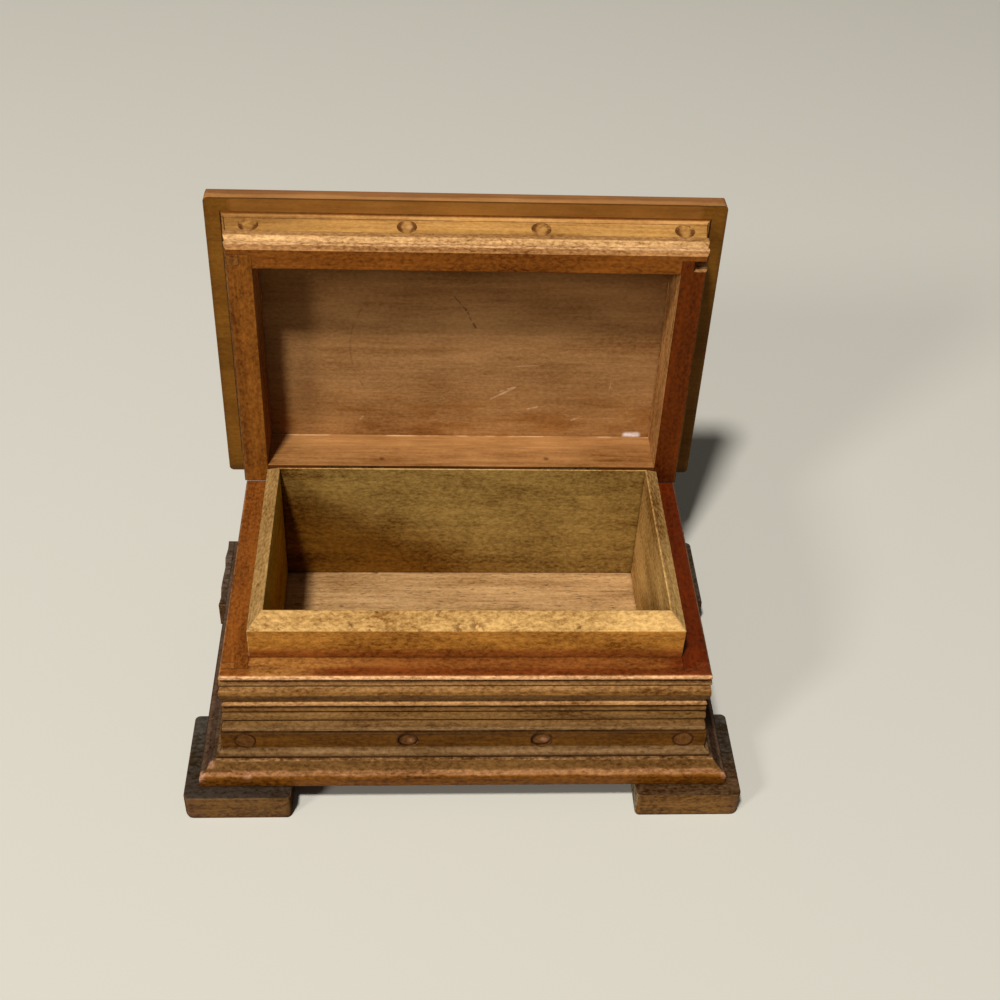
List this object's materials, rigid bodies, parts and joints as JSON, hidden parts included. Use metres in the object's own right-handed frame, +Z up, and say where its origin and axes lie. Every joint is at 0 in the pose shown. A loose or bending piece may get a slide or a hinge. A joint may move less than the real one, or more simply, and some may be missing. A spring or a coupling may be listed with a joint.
{
  "type": "keepsake box",
  "caption": "Small wooden keepsake box with moulded front and sides, raised inner liner, hinged overhanging lid, plinth and plate feet, lid standing open.",
  "frame": {"origin": "on the table, under the middle of the box as it stands open: halfway between the feet's front edge and the open lid's back", "axes": "+Z up, +X to the right seen from the front, front of the box faces -Y"},
  "size_m": [0.155, 0.116, 0.1324],
  "materials": {
    "case_wood": "satin varnish over golden brown stain",
    "red_wood": "satin varnish over red brown stain",
    "lid_wood": "satin varnish over warm brown stain",
    "liner_wood": "worn golden varnish",
    "floor_wood": "bare pinkish beech",
    "plinth_wood": "satin varnish over orange brown stain",
    "foot_wood": "dull dark stain",
    "plug_wood": "satin varnish over dark brown stain",
    "hinge_brass": "aged brass"
  },
  "bodies": {
    "case": {"foot_front_left": "foot_wood", "foot_front_right": "foot_wood", "foot_back_left": "foot_wood", "foot_back_right": "foot_wood", "plinth_board": "plinth_wood", "case_front_board": "case_wood", "case_back_board": "case_wood", "case_left_board": "case_wood", "case_right_board": "red_wood", "case_corner_strip_left": "case_wood", "case_corner_strip_right": "red_wood", "case_plugs": "plug_wood", "floor_board": "floor_wood", "liner_front_board": "liner_wood", "liner_back_board": "liner_wood", "liner_left_board": "liner_wood", "liner_right_board": "liner_wood", "hinge_case_leaf_left": "hinge_brass", "hinge_case_leaf_right": "hinge_brass", "hinge_pin_left": "hinge_brass", "hinge_pin_right": "hinge_brass", "hinge_case_screws": "hinge_brass"},
    "lid": {"lid_top_board": "lid_wood", "lid_front_board": "lid_wood", "lid_back_board": "lid_wood", "lid_left_board": "lid_wood", "lid_right_board": "red_wood", "lid_corner_strip_left": "lid_wood", "lid_corner_strip_right": "red_wood", "lid_plugs": "plug_wood", "hinge_lid_leaf_left": "hinge_brass", "hinge_lid_leaf_right": "hinge_brass", "hinge_lid_screws": "hinge_brass"}
  },
  "joints": [
    {"name": "lid_hinge", "type": "hinge", "parent": "case", "child": "lid", "pos_m": [0, 0.03322, 0.04595], "axis": [1, 0, 0], "range_deg": [0, 91.9]}
  ]
}
